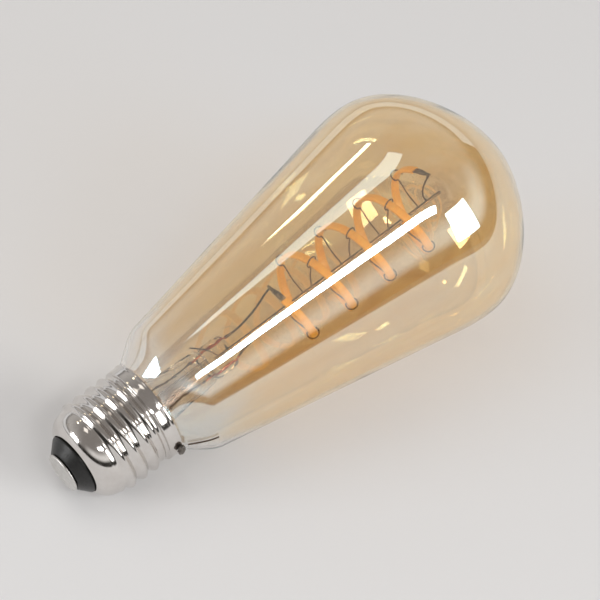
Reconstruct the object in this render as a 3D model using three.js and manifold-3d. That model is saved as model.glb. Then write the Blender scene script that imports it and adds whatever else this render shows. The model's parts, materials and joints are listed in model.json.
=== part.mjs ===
import * as THREE from 'three';
import { mergeVertices } from 'three/addons/utils/BufferGeometryUtils.js';
import Module from 'manifold-3d';

const wasm = await Module();
wasm.setup();

// A spiral-filament smart lamp with an E27 screw cap, lying on its side.
// Every piece is drawn along the lamp's own axis: height 0 is the face of the tip contact and
// heights grow towards the crown of the glass. At the end the whole lamp is laid on the floor.

// ---- driving dimensions: millimetres and degrees ----

const clearance = 0.3;            // gap left between two pieces that touch
const aroundGlass = 32;           // facets round the glass and the cap, a multiple of four
const aroundSmall = 16;           // facets round the small turned pieces

const lampLength = 140;
const glassDiameter = 64;
const widestHeight = 113;         // where the glass is at its widest
const glassWall = 0.9;
const shoulderRise = 9.6;         // the glass swells this far above the rim of the cap
const shoulderRadius = 18.4;
const coneEndHeight = 99;         // the cone runs straight up to here
const coneEndRadius = 30.1;
const crownFullness = 15.5;       // how far the side of the bulge runs on before it turns in
const crownWidth = 10;            // half width of the blunt end of the crown

const capWall = 0.35;
const capLipRadius = 8.35;        // lower edge of the metal shell, round the insulator
const capLipHeight = 4.2;
const threadPitch = 3.63;
const threadCrestRadius = 13.2;
const threadRootRadius = 12.1;
const threadFoot = 8.8;
const threadHeight = 14.4;
const threadCrestHeight = 10.7;   // first crest, on the side that the stem's upper lead is on
const collarRadius = 13.05;
const collarRise = 1.1;           // thread to the foot of the collar
const collarHeight = 3.1;
const rimBead = 0.2;

const contactRadius = 5.3;
const contactThickness = 0.7;
const rivetRadius = 1.5;
const rivetTop = 6.4;
const insulatorTop = 7;
const insulatorFlangeTop = 3.9;

const neckDepth = 2.1;            // the glass reaches this far down inside the thread
const cementDepth = 1.2;
const cementBelowRim = 2;

const sleeveWall = 0.5;
const sleeveHeight = 9.6;

const stemTurn = 123.5;           // direction of the upper lead, round the axis
const stemRadius = 5;
const stemWall = 0.8;
const stemHeight = 24.4;          // foot of the glass to the top of the stem
const flareLip = 0.7;
const pressHeight = 7.8;
const pressHalfWidth = 4.6;
const pressHalfDepth = 2.5;
const exhaustRadius = 1.5;
const exhaustBore = 1;
const exhaustDepth = 22.7;        // top of the stem to the foot of the tube inside it
const rodRadius = 0.45;
const rodDepth = 5.3;             // this much of the rod is held in the press
const rodTop = 121.7;

const wireRadius = 0.3;
const leadOffset = 2.9;           // leads to the stem's axis
const hookWireRadius = 0.22;
const neutralWireRadius = 0.25;
const tabLeadRise = 117.2;        // the upper tab's lead meets the rod here

const spiralRadius = 10.17;       // axis to the middle of the filament strip
const spiralPitch = 12.55;
const spiralStart = -278;         // degrees past the upper lead's side
const spiralEnd = 1118;
const spiralHeight = 78.6;        // of the filament where it passes the upper lead's side
const stripWidth = 2.2;
const stripThickness = 1.1;
const tabLength = 5.4;
const tabWidth = 1.5;
const tabThickness = 0.5;
const hookTurns = [155, 347, 421];
const hookRise = 1.2;             // each hook climbs this much from the rod to its eye

const solderTurn = 160;
const solderSize = [0.8, 1.6, 1.5];

const boardTurn = 30;
const boardWidth = 17;
const boardFoot = 8;
const boardHeight = 10.8;
const boardThickness = 1;
const capacitorRadius = 2.5;
const capacitorLength = 7.5;
const chokeRadius = 2.4;
const chokeHeight = 5;
const radioBoardSize = [9, 0.8, 8.4];
const radioSpacer = 3.2;

// ---- materials ----

function finish(color, roughness, metalness) {
  return new THREE.MeshStandardMaterial({ color, roughness, metalness });
}

const amberGlass = finish('#d8ab62', 0.05, 0);
const clearGlass = finish('#e6e4dc', 0.06, 0);
const nickel = finish('#c9c7c2', 0.14, 1);
const blackGlass = finish('#151515', 0.3, 0);
const contactMetal = finish('#b9b7b2', 0.3, 1);
const cementStone = finish('#cdc7b8', 0.9, 0);
const solder = finish('#6d6b68', 0.4, 1);
const sealMetal = finish('#a2492c', 0.35, 1);
const leadMetal = finish('#4e423a', 0.4, 1);
const filamentSilicone = finish('#ff9a2e', 0.5, 0);
const boardLaminate = finish('#1f5c3a', 0.55, 0);
const chipResin = finish('#1b1b1d', 0.5, 0);
const capacitorSleeve = finish('#2a2f3a', 0.4, 0);
const ferrite = finish('#3a3836', 0.7, 0);
const shieldMetal = finish('#bdbdbd', 0.3, 1);
const filmResin = finish('#c8922e', 0.5, 0);
const ceramicBody = finish('#8fb0a0', 0.6, 0);
const sleevePlastic = finish('#e9e6de', 0.6, 0);

// ---- shapes ----

const radians = THREE.MathUtils.degToRad;

// A turned solid: points are [radius, height], up the outside and down the inside.
function turned(points, around = aroundSmall) {
  const outline = points.map(([radius, height]) => new THREE.Vector2(radius, height));
  return new THREE.LatheGeometry(outline, around, Math.PI / around).rotateX(Math.PI / 2);
}

// A solid whose skin runs through rings of points, each ring counter-clockwise along the way.
function skinned(rings, isLoop) {
  const around = rings[0].length;
  const positions = rings.flat().flatMap((point) => point.toArray());
  const index = [];
  const spans = isLoop ? rings.length : rings.length - 1;
  for (let ring = 0; ring < spans; ring += 1) {
    const here = ring * around;
    const there = ((ring + 1) % rings.length) * around;
    for (let side = 0; side < around; side += 1) {
      const next = (side + 1) % around;
      index.push(here + side, here + next, there + next);
      index.push(here + side, there + next, there + side);
    }
  }
  if (!isLoop) {
    const last = (rings.length - 1) * around;
    for (let side = 1; side < around - 1; side += 1) {
      index.push(0, side + 1, side);
      index.push(last, last + side, last + side + 1);
    }
  }
  const geometry = new THREE.BufferGeometry();
  geometry.setAttribute('position', new THREE.Float32BufferAttribute(positions, 3));
  geometry.setIndex(index);
  return geometry;
}

// Round wire through hand-set points.
function wire(points, radius, steps) {
  const route = new THREE.CatmullRomCurve3(points, false, 'centripetal');
  const section = new THREE.Shape().absarc(0, 0, radius, 0, 2 * Math.PI);
  const options = { steps, extrudePath: route, curveSegments: 3, bevelEnabled: false };
  return new THREE.ExtrudeGeometry(section, options);
}

// A point by its distance from the axis, its angle round it and its height.
function polar(radius, turn, height) {
  const angle = radians(turn);
  return new THREE.Vector3(radius * Math.cos(angle), radius * Math.sin(angle), height);
}

function toSolid(geometry) {
  const bare = geometry.clone();
  bare.deleteAttribute('normal');
  bare.deleteAttribute('uv');
  const merged = mergeVertices(bare, 1e-4);
  const vertProperties = new Float32Array(merged.attributes.position.array);
  const triVerts = new Uint32Array(merged.index.array);
  return new wasm.Manifold(new wasm.Mesh({ numProp: 3, vertProperties, triVerts }));
}

function cut(geometry, cutters) {
  let solid = toSolid(geometry);
  for (const cutter of cutters) {
    solid = solid.subtract(toSolid(cutter));
  }
  const mesh = solid.getMesh();
  const result = new THREE.BufferGeometry();
  result.setAttribute('position', new THREE.BufferAttribute(mesh.vertProperties, 3));
  result.setIndex(new THREE.BufferAttribute(mesh.triVerts, 1));
  return result;
}

// A straight round bar along the axis, used as a piece or to cut a hole.
function bar(radius, foot, top, around = aroundSmall) {
  return turned([[0, foot], [radius, foot], [radius, top], [0, top]], around);
}

function add(parent, name, geometry, material) {
  const mesh = new THREE.Mesh(geometry, material);
  mesh.name = name;
  parent.add(mesh);
  return mesh;
}

const lamp = new THREE.Group();
const stem = new THREE.Group();
stem.rotation.z = radians(stemTurn);
lamp.add(stem);
const driver = new THREE.Group();
driver.rotation.z = radians(boardTurn);
lamp.add(driver);

// ---- heights that follow from the sizes above ----

const threadTop = threadFoot + threadHeight;
const collarFoot = threadTop + collarRise;
const capHeight = collarFoot + collarHeight;
const neckFoot = threadTop - neckDepth;
const neckTop = threadTop;        // the glass starts to swell out of the cap here
const shoulderHeight = capHeight + shoulderRise;
const cementFoot = threadTop - cementDepth;
const cementTop = capHeight - cementBelowRim;
const sleeveTop = boardFoot + boardHeight - 0.2;
const stemTop = neckFoot + stemHeight;
const pressTop = stemTop + pressHeight;

// ---- glass ----

const collarBore = collarRadius - capWall;
const threadBore = threadRootRadius - capWall;
const neckRadius = threadBore - 2 * clearance - 2 * neutralWireRadius;
const glassRadius = glassDiameter / 2;

function glassCurves() {
  const coneSlope = (coneEndRadius - shoulderRadius) / (coneEndHeight - shoulderHeight);
  const reach = 4.2;
  const at = (radius, height) => new THREE.Vector2(radius, height);
  const swell = new THREE.CubicBezierCurve(
    at(neckRadius, neckTop),
    at(neckRadius + 0.5, capHeight + 0.6),
    at(shoulderRadius - coneSlope * reach, shoulderHeight - reach),
    at(shoulderRadius, shoulderHeight),
  );
  const rise = (widestHeight - coneEndHeight) * 0.55;
  const bulge = new THREE.CubicBezierCurve(
    at(coneEndRadius, coneEndHeight),
    at(coneEndRadius + coneSlope * rise, coneEndHeight + rise),
    at(glassRadius, widestHeight - rise * 0.6),
    at(glassRadius, widestHeight),
  );
  const crown = new THREE.CubicBezierCurve(
    at(glassRadius, widestHeight),
    at(glassRadius, widestHeight + crownFullness),
    at(crownWidth, lampLength),
    at(0, lampLength),
  );
  return [[swell, 7], [bulge, 4], [crown, 9]];
}

// The outside of the glass, foot to crown, and the same outline one wall further in.
function glassOutline() {
  const outside = [new THREE.Vector2(neckRadius, neckFoot)];
  const inside = [new THREE.Vector2(neckRadius - glassWall, neckFoot)];
  for (const [curve, spans] of glassCurves()) {
    for (let span = 0; span <= spans; span += 1) {
      const point = curve.getPoint(span / spans);
      const isRepeat = outside.at(-1).distanceTo(point) < clearance;
      if (!isRepeat) {
        const along = curve.getTangent(span / spans);
        outside.push(point);
        inside.push(new THREE.Vector2(point.x - along.y * glassWall, point.y + along.x * glassWall));
      }
    }
  }
  inside.at(-1).set(0, lampLength - glassWall);
  return [...outside, ...inside.reverse()].map((point) => point.toArray());
}

const glassRim = glassOutline();
add(lamp, 'glass_envelope', turned([...glassRim, glassRim[0]], aroundGlass), amberGlass);

// ---- screw cap ----

function smoothStep(from, to, value) {
  return THREE.MathUtils.smoothstep(value, from, to);
}

function threadRadius(height, turn) {
  const crestHere = threadCrestHeight + threadPitch * (turn - stemTurn) / 360;
  const wave = 0.5 + 0.5 * Math.cos(2 * Math.PI * (height - crestHere) / threadPitch);
  const fadeIn = smoothStep(threadFoot, threadFoot + threadPitch / 2, height);
  const fadeOut = 1 - smoothStep(threadTop - threadPitch / 2, threadTop, height);
  return threadRootRadius + (threadCrestRadius - threadRootRadius) * wave * fadeIn * fadeOut;
}

// The outside of the shell, foot to rim: a function of the turn for each ring.
function shellRings() {
  const rings = [];
  const cone = new THREE.QuadraticBezierCurve(
    new THREE.Vector2(capLipRadius, capLipHeight),
    new THREE.Vector2(threadRootRadius - 0.3, capLipHeight + 1.3),
    new THREE.Vector2(threadRootRadius, threadFoot),
  );
  for (const point of cone.getPoints(5).slice(0, -1)) {
    rings.push(() => [point.x, point.y]);
  }
  const stepsPerTurn = 5;
  const threadSteps = Math.round((threadTop - threadFoot) / threadPitch * stepsPerTurn);
  for (let step = 0; step <= threadSteps; step += 1) {
    const height = THREE.MathUtils.lerp(threadFoot, threadTop, step / threadSteps);
    rings.push((turn) => [threadRadius(height, turn), height]);
  }
  rings.push(() => [collarRadius - 0.25, collarFoot - 0.4]);
  rings.push(() => [collarRadius, collarFoot]);
  rings.push(() => [collarRadius, capHeight - 0.9]);
  rings.push(() => [collarRadius + rimBead, capHeight - 0.5]);
  rings.push(() => [collarRadius + rimBead, capHeight]);
  return rings;
}

function capShell() {
  const outside = shellRings();
  const inside = outside.map((ring) => (turn) => [ring(turn)[0] - capWall, ring(turn)[1]]);
  const rings = [];
  for (const ring of [...outside, ...inside.reverse()]) {
    const points = [];
    for (let side = 0; side < aroundGlass; side += 1) {
      const turn = (side + 0.5) * 360 / aroundGlass;
      const [radius, height] = ring(turn);
      points.push(polar(radius, turn, height));
    }
    rings.push(points);
  }
  return skinned(rings, true);
}

add(lamp, 'cap_shell', capShell(), nickel);

const insulatorFoot = contactThickness + clearance;
const rivetHole = rivetRadius + clearance;
const lipBore = capLipRadius - capWall;
const insulatorOutline = [
  [rivetHole, insulatorFoot],
  [contactRadius + 0.5, insulatorFoot],
  [contactRadius + 0.8, insulatorFoot + 0.7],
  [contactRadius + 1.7, insulatorFoot + 1.9],
  [capLipRadius - 0.1, insulatorFlangeTop - 0.2],
  [capLipRadius - 0.1, insulatorFlangeTop],
  [lipBore - clearance, insulatorFlangeTop],
  [lipBore - clearance, capLipHeight + 0.5],
  [lipBore + 0.5, insulatorTop - 0.8],
  [lipBore + 0.1, insulatorTop],
  [rivetHole + 3, insulatorTop],
  [rivetHole + 2, insulatorTop - 1.8],
  [rivetHole, insulatorTop - 1.8],
];
add(lamp, 'cap_insulator', turned([...insulatorOutline, insulatorOutline[0]], 24), blackGlass);

const contactOutline = [
  [0, 0],
  [contactRadius - 0.4, 0],
  [contactRadius, 0.3],
  [contactRadius, contactThickness],
  [rivetRadius, contactThickness],
  [rivetRadius, rivetTop],
  [0, rivetTop],
];
add(lamp, 'center_contact', turned(contactOutline, 24), contactMetal);

// The neutral wire climbs from the board, round the flare and into the cement under the rim.
const leadFoot = boardFoot + boardHeight + clearance;
const neutralRadius = neckRadius + clearance + neutralWireRadius;
const neutralHeight = leadFoot + neutralWireRadius;
const neutralPoints = [
  polar(neutralRadius - 4.5, solderTurn, neutralHeight),
  polar(neutralRadius - 0.4, solderTurn, neutralHeight),
  polar(neutralRadius, solderTurn, neutralHeight + 0.5),
  polar(neutralRadius, solderTurn, cementFoot + 0.6),
  polar(neutralRadius + 0.1, solderTurn, neckTop + 0.5),
  polar(collarBore - clearance - neutralWireRadius, solderTurn, cementTop - 0.2),
];
add(stem, 'neutral_wire', wire(neutralPoints, neutralWireRadius, 16), filmResin);

const cementInside = glassRim
  .filter(([radius, height]) => radius >= neckRadius && height > neckFoot && height < cementTop)
  .map(([radius, height]) => [radius + clearance, height]);
const cementOutline = [
  [neckRadius + clearance, cementFoot],
  [threadBore - clearance, cementFoot],
  [threadBore - clearance, collarFoot - 1],
  [collarBore - clearance, collarFoot + 0.2],
  [collarBore - clearance, cementTop],
  ...cementInside.reverse(),
];
const cementRing = turned([...cementOutline, cementOutline[0]], aroundGlass);
const groove = wire(neutralPoints, neutralWireRadius + clearance, 16);
groove.rotateZ(radians(stemTurn));
add(lamp, 'cap_cement', cut(cementRing, [groove]), cementStone);

const sleeveRadius = threadBore - clearance;
const sleeveBore = sleeveRadius - sleeveWall;
const sleeveOutline = [
  [sleeveBore, sleeveTop - sleeveHeight],
  [sleeveRadius, sleeveTop - sleeveHeight],
  [sleeveRadius, sleeveTop],
  [sleeveBore, sleeveTop],
  [sleeveBore, sleeveTop - sleeveHeight],
];
add(lamp, 'insulating_sleeve', turned(sleeveOutline, 24), sleevePlastic);

const dabReach = collarRadius + rimBead + clearance + solderSize[0];
const dab = new THREE.SphereGeometry(1, 10, 6).scale(...solderSize);
const rimSolder = add(stem, 'rim_solder', dab, solder);
rimSolder.position.copy(polar(dabReach, solderTurn, capHeight - 1));
rimSolder.rotation.z = radians(solderTurn);

// ---- glass stem ----

const stemBore = stemRadius - stemWall;
const flareFoot = neckFoot - clearance - flareLip;
const stemOutline = [
  [neckRadius - 2.2, flareFoot],
  [neckRadius, flareFoot],
  [neckRadius, flareFoot + flareLip],
  [neckRadius - 3, flareFoot + flareLip + 0.8],
  [stemRadius + 2, flareFoot + 6],
  [stemRadius + 0.9, flareFoot + 12],
  [stemRadius, stemTop - 2.5],
  [stemRadius - 0.3, stemTop - 0.6],
  [stemBore + 0.1, stemTop],
  [leadOffset + wireRadius + 0.5, stemTop],
  [stemBore, stemTop - 3],
  [stemBore + 0.9, flareFoot + 12],
  [stemBore + 1.9, flareFoot + 5.5],
];
add(stem, 'stem_flare', turned([...stemOutline, stemOutline[0]], 24), clearGlass);

const pressFoot = stemTop + clearance;
const pressOutline = [
  [0, pressFoot],
  [pressHalfWidth, pressFoot],
  [pressHalfWidth, pressTop - 1.6],
  [pressHalfWidth - 0.5, pressTop - 0.5],
  [pressHalfWidth - 1.4, pressTop],
  [0, pressTop],
];
const pressBody = turned(pressOutline, 24).scale(1, pressHalfDepth / pressHalfWidth, 1);
const pressHoles = [bar(rodRadius + clearance, pressFoot - 1, pressTop + 1, 12)];
for (const side of [1, -1]) {
  const hole = bar(wireRadius + clearance, pressFoot - 1, pressTop + 1, 8);
  pressHoles.push(hole.translate(side * leadOffset, 0, 0));
}
add(stem, 'stem_press', cut(pressBody, pressHoles), clearGlass);

const exhaustTop = stemTop;
const exhaustFoot = stemTop - exhaustDepth;
const exhaustOutline = [
  [0, exhaustFoot],
  [exhaustRadius, exhaustFoot + 1.5],
  [exhaustRadius, exhaustTop],
  [exhaustBore, exhaustTop],
  [exhaustBore, exhaustFoot + 2],
  [0, exhaustFoot + 1],
];
add(stem, 'exhaust_tube', turned(exhaustOutline, 12), clearGlass);

const rodOutline = [
  [0, pressTop - rodDepth],
  [rodRadius, pressTop - rodDepth],
  [rodRadius, rodTop - 0.3],
  [rodRadius * 0.6, rodTop],
  [0, rodTop],
];
add(stem, 'support_rod', turned(rodOutline, 12), leadMetal);

// ---- filament and the wires that carry it ----

function spiralPoint(turn) {
  return polar(spiralRadius, turn, spiralHeight + spiralPitch * turn / 360);
}

function spiralDirection(turn) {
  const angle = radians(turn);
  const climb = spiralPitch / (2 * Math.PI);
  const along = new THREE.Vector3(-Math.sin(angle), Math.cos(angle), climb / spiralRadius);
  return along.normalize();
}

// A ring of the strip's section: flat face to the axis, wide way up the lamp.
function stripRing(centre, turn, width, thickness) {
  const outward = polar(1, turn, 0);
  const upward = new THREE.Vector3().crossVectors(outward, spiralDirection(turn));
  const corner = 0.3;
  const section = [
    [-0.5, -0.5 + corner], [-0.5 + corner, -0.5], [0.5 - corner, -0.5], [0.5, -0.5 + corner],
    [0.5, 0.5 - corner], [0.5 - corner, 0.5], [-0.5 + corner, 0.5], [-0.5, 0.5 - corner],
  ];
  const points = section.map(([across, up]) => centre.clone()
    .addScaledVector(outward, across * thickness)
    .addScaledVector(upward, up * width));
  return points.reverse();
}

function filamentStrip() {
  const rings = [];
  const steps = 60;
  for (let step = 0; step <= steps; step += 1) {
    const turn = THREE.MathUtils.lerp(spiralStart, spiralEnd, step / steps);
    rings.push(stripRing(spiralPoint(turn), turn, stripWidth, stripThickness));
  }
  return skinned(rings, false);
}

add(stem, 'led_filament', filamentStrip(), filamentSilicone);

// Metal tab that runs on in line with an end of the strip.
function filamentTab(turn, way) {
  const along = spiralDirection(turn).multiplyScalar(way);
  const root = spiralPoint(turn).addScaledVector(along, clearance);
  const tip = root.clone().addScaledVector(along, tabLength);
  const rings = [root, tip].map((centre) => stripRing(centre, turn, tabWidth, tabThickness));
  return skinned(way > 0 ? rings : rings.reverse(), false);
}

add(stem, 'filament_tab_lower', filamentTab(spiralStart, -1), leadMetal);
add(stem, 'filament_tab_upper', filamentTab(spiralEnd, 1), leadMetal);

// Where a lead is welded: beside the tab, towards the axis, near its free end.
function tabSeat(turn, way) {
  const reach = way * (clearance + tabLength * 0.8);
  const inward = tabThickness / 2 + clearance + wireRadius;
  const point = spiralPoint(turn).addScaledVector(spiralDirection(turn), reach);
  return point.addScaledVector(polar(1, turn, 0), -inward);
}

function supportHook(turn) {
  const eyeCentre = spiralPoint(turn);
  const outward = polar(1, turn, 0);
  const upward = new THREE.Vector3().crossVectors(outward, spiralDirection(turn));
  const eyeRadius = Math.hypot(stripWidth, stripThickness) / 2 + hookWireRadius + 0.12;
  const rodSeat = polar(rodRadius + clearance, turn, eyeCentre.z - hookRise);
  const points = [rodSeat, polar(spiralRadius * 0.45, turn, eyeCentre.z - hookRise * 0.9)];
  for (let angle = 200; angle <= 470; angle += 45) {
    const around = radians(angle);
    points.push(eyeCentre.clone()
      .addScaledVector(outward, eyeRadius * Math.cos(around))
      .addScaledVector(upward, eyeRadius * Math.sin(around)));
  }
  return wire(points, hookWireRadius, 15);
}

let hookCount = 0;
for (let turn = spiralStart; turn < spiralEnd - 20; turn += 1) {
  const isHook = hookTurns.some((hookTurn) => (turn - hookTurn) % 360 === 0);
  if (isHook) {
    hookCount += 1;
    const name = `support_hook_${String(hookCount).padStart(2, '0')}`;
    add(stem, name, supportHook(turn), leadMetal);
  }
}

const sealFoot = stemTop - 2.6;
const sealTop = pressTop + 0.5;
const outerLeadTop = sealFoot - clearance;
const upperSide = leadOffset;
for (const [label, side] of [['upper', upperSide], ['lower', -upperSide]]) {
  const bow = side * 0.1;
  const outerPoints = [
    new THREE.Vector3(side, 0, leadFoot),
    new THREE.Vector3(side + bow, 0, capHeight + 2),
    new THREE.Vector3(side - bow, 0, capHeight + 9),
    new THREE.Vector3(side, 0, outerLeadTop),
  ];
  add(stem, `outer_lead_${label}`, wire(outerPoints, wireRadius, 14), leadMetal);
  const seal = bar(wireRadius, sealFoot, sealTop, 8).translate(side, 0, 0);
  add(stem, `seal_wire_${label}`, seal, sealMetal);
}

const lowerSeat = tabSeat(spiralStart, -1);
const shortLeadPoints = [
  new THREE.Vector3(leadOffset, 0, sealTop + clearance),
  new THREE.Vector3(leadOffset, 0.6, sealTop + 4),
  new THREE.Vector3(leadOffset + 1, 3.2, sealTop + 9),
  new THREE.Vector3(lowerSeat.x - 0.3, lowerSeat.y - 1.5, lowerSeat.z - 1.2),
  lowerSeat,
];
add(stem, 'short_lead', wire(shortLeadPoints, wireRadius, 16), leadMetal);

// The rod carries the current: one lead joins its foot, and one its head to the upper tab.
const besideRod = rodRadius + clearance + wireRadius;
const rodLeadPoints = [
  new THREE.Vector3(-leadOffset, 0, sealTop + clearance),
  new THREE.Vector3(-leadOffset + 0.6, 0, sealTop + 1.6),
  new THREE.Vector3(-besideRod - 0.8, 0, sealTop + 4.8),
  new THREE.Vector3(-besideRod - 0.2, 0, sealTop + 8),
  new THREE.Vector3(-besideRod, 0, sealTop + 11),
];
add(stem, 'rod_lead', wire(rodLeadPoints, wireRadius, 14), leadMetal);

const upperSeat = tabSeat(spiralEnd, 1);
const upperSeatTurn = THREE.MathUtils.radToDeg(Math.atan2(upperSeat.y, upperSeat.x));
const tabLeadPoints = [
  polar(besideRod, upperSeatTurn, tabLeadRise),
  polar(spiralRadius * 0.35, upperSeatTurn, tabLeadRise - 0.9),
  polar(spiralRadius * 0.7, upperSeatTurn, tabLeadRise - 0.7),
  upperSeat,
];
add(stem, 'tab_lead', wire(tabLeadPoints, wireRadius, 14), leadMetal);

const anchorPoints = [
  new THREE.Vector3(0.3, pressHalfDepth + clearance + hookWireRadius, pressFoot + 3),
  polar(stemRadius - 0.3, 50, stemTop + 1.6),
  polar(stemRadius + 1.2, 15, stemTop - 1),
];
add(stem, 'anchor_wire', wire(anchorPoints, hookWireRadius, 8), leadMetal);

function glassRadiusAt(height) {
  const above = glassRim.findIndex((point) => point[1] > height);
  const [lowRadius, low] = glassRim[above - 1];
  const [highRadius, high] = glassRim[above];
  return THREE.MathUtils.mapLinear(height, low, high, lowRadius, highRadius);
}

const tailRise = 6.5;
const tailPoints = [0, 0.2, 0.4, 0.6, 0.8, 1].map((share) => {
  const height = capHeight + clearance + 0.9 + share * tailRise;
  const radius = glassRadiusAt(height) + clearance + 1.6 * hookWireRadius;
  return polar(radius, solderTurn - 9 * share, height);
});
add(stem, 'rim_wire_tail', wire(tailPoints, hookWireRadius, 10), leadMetal);

// ---- driver, on a board that stands in the cap ----

function block(size, centre) {
  return new THREE.BoxGeometry(...size).translate(...centre);
}

const boardFace = boardThickness / 2 + clearance;
const boardMiddle = boardFoot + boardHeight / 2;
add(driver, 'driver_board', block([boardWidth, boardThickness, boardHeight], [0, 0, boardMiddle]),
  boardLaminate);

const capacitorHeight = boardFoot + boardHeight - capacitorRadius - 0.4;
const canOutline = [
  [0, 0],
  [capacitorRadius, 0],
  [capacitorRadius, capacitorLength - 1.2],
  [capacitorRadius - 0.3, capacitorLength - 0.9],
  [capacitorRadius, capacitorLength - 0.6],
  [capacitorRadius, capacitorLength],
  [0, capacitorLength],
];
const can = turned(canOutline).rotateY(Math.PI / 2);
can.translate(-capacitorLength - 0.3, boardFace + capacitorRadius, capacitorHeight);
add(driver, 'smoothing_capacitor', can, capacitorSleeve);

const drumOutline = [
  [0, 0],
  [chokeRadius, 0],
  [chokeRadius, 0.8],
  [chokeRadius - 0.6, 1],
  [chokeRadius - 0.6, chokeHeight - 1],
  [chokeRadius, chokeHeight - 0.8],
  [chokeRadius, chokeHeight],
  [0, chokeHeight],
];
const drum = turned(drumOutline).rotateX(-Math.PI / 2);
drum.translate(chokeRadius + 1.2, boardFace, boardMiddle + 2);
add(driver, 'choke_coil', drum, ferrite);

add(driver, 'bridge_rectifier', block([4.6, 1.6, 3.8], [-4, boardFace + 0.8, boardFoot + 2.6]),
  chipResin);
add(driver, 'film_capacitor', block([4.8, 3, 3.2], [4, boardFace + 1.5, boardFoot + 2.2]),
  filmResin);

const fuse = turned([[0, 0], [1, 0.3], [1, 5.2], [0, 5.5]], 12);
add(driver, 'fuse_resistor', fuse.translate(-6.6, -boardFace - 1, boardFoot + 2.4), ceramicBody);
add(driver, 'driver_chip', block([4.9, 1.5, 3.9], [-1.8, -boardFace - 0.75, boardFoot + 2.6]),
  chipResin);

const radioFace = -boardFace - radioSpacer - clearance;
add(driver, 'radio_pin_header', block([1.6, radioSpacer, 7], [3.6, -boardFace - radioSpacer / 2,
  boardMiddle]), chipResin);
add(driver, 'radio_board', block(radioBoardSize, [2.2, radioFace - radioBoardSize[1] / 2,
  boardMiddle]), boardLaminate);
add(driver, 'radio_shield', block([6.2, 1.6, 6], [2.9, radioFace - radioBoardSize[1] - clearance
  - 0.8, boardMiddle]), shieldMetal);

const liveWirePoints = [
  new THREE.Vector3(0, 0, rivetTop + clearance),
  new THREE.Vector3(0, -0.8, rivetTop + 1),
  new THREE.Vector3(0.4, -boardFace - wireRadius - 0.2, boardFoot + 0.3),
];
add(driver, 'live_wire', wire(liveWirePoints, wireRadius, 6), filmResin);

// ---- laid down: the cap and the widest part of the glass both touch the floor ----

// The corners of a mesh as [height, depth below the axis].
function corners(mesh) {
  const { array } = mesh.geometry.attributes.position;
  const found = [];
  for (let place = 0; place < array.length; place += 3) {
    found.push([array[place + 2], array[place]]);
  }
  return found;
}

function restingTilt() {
  const glassCorners = corners(lamp.getObjectByName('glass_envelope'));
  let least = Infinity;
  for (const [height, depth] of corners(lamp.getObjectByName('cap_shell'))) {
    const slopes = glassCorners
      .filter(([glassHeight]) => glassHeight > shoulderHeight)
      .map(([glassHeight, glassDepth]) => (glassDepth - depth) / (glassHeight - height));
    least = Math.min(least, Math.max(...slopes));
  }
  return Math.atan(least);
}

lamp.rotation.y = Math.PI / 2 - restingTilt();
lamp.updateMatrixWorld(true);
const box = new THREE.Box3().setFromObject(lamp, true);
const middle = box.getCenter(new THREE.Vector3());
lamp.position.set(-middle.x, -middle.y, -box.min.z);

const group = new THREE.Group();
group.add(lamp);

export default group;
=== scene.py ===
import json
from math import asin, atan2, cos, degrees, hypot, pi, radians, sin, tan

import bpy
from mathutils import Matrix, Vector, noise


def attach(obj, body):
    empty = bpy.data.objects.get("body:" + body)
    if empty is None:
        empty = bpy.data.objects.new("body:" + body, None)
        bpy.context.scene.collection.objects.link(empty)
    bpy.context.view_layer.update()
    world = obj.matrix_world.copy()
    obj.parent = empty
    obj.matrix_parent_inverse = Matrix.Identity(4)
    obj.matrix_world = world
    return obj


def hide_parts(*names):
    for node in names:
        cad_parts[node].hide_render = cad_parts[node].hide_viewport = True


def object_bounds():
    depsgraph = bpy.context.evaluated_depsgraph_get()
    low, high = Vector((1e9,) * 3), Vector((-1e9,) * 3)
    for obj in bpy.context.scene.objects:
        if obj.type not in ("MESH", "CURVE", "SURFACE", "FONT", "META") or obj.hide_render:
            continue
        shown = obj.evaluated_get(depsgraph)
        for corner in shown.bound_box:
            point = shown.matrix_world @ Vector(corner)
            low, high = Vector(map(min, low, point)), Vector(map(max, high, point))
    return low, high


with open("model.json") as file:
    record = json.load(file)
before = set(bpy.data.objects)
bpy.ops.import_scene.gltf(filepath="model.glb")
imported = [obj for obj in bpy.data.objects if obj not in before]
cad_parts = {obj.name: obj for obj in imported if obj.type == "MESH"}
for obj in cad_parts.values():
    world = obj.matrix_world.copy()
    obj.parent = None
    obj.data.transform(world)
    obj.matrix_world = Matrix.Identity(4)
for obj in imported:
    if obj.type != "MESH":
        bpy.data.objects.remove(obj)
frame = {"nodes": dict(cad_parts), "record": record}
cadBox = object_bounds()

# Sizes below are in millimetres along the lamp's own axis, with 0 at the face of the tip contact.
mm = 0.001

# ---- where the lamp lies ----

contactMount = next(m for m in frame["record"]["mounts"] if m["name"] == "contact_face")
lampAxis = -Vector(contactMount["axis"]).normalized()
lampTip = Vector(contactMount["pos_m"])
lampTilt = asin(lampAxis.z)
lampPlace = Matrix.Translation(lampTip) @ Matrix.Rotation(pi / 2 - lampTilt, 4, "Y")
stemTurn = 123.5  # side of the upper lead, round the axis
stemPlace = lampPlace @ Matrix.Rotation(radians(stemTurn), 4, "Z")
objectMiddle = (cadBox[0] + cadBox[1]) / 2


def polar(radius, turn, height):
    return Vector((radius * cos(radians(turn)), radius * sin(radians(turn)), height))


# ---- shaping helpers ----


def bezier(start, startPull, endPull, end, spans):
    points = []
    for step in range(spans + 1):
        t = step / spans
        weights = ((1 - t) ** 3, 3 * t * (1 - t) ** 2, 3 * t * t * (1 - t), t ** 3)
        corners = [Vector(p) for p in (start, startPull, endPull, end)]
        points.append(sum((c * w for c, w in zip(corners, weights)), Vector([0] * len(start))))
    return points


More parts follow.
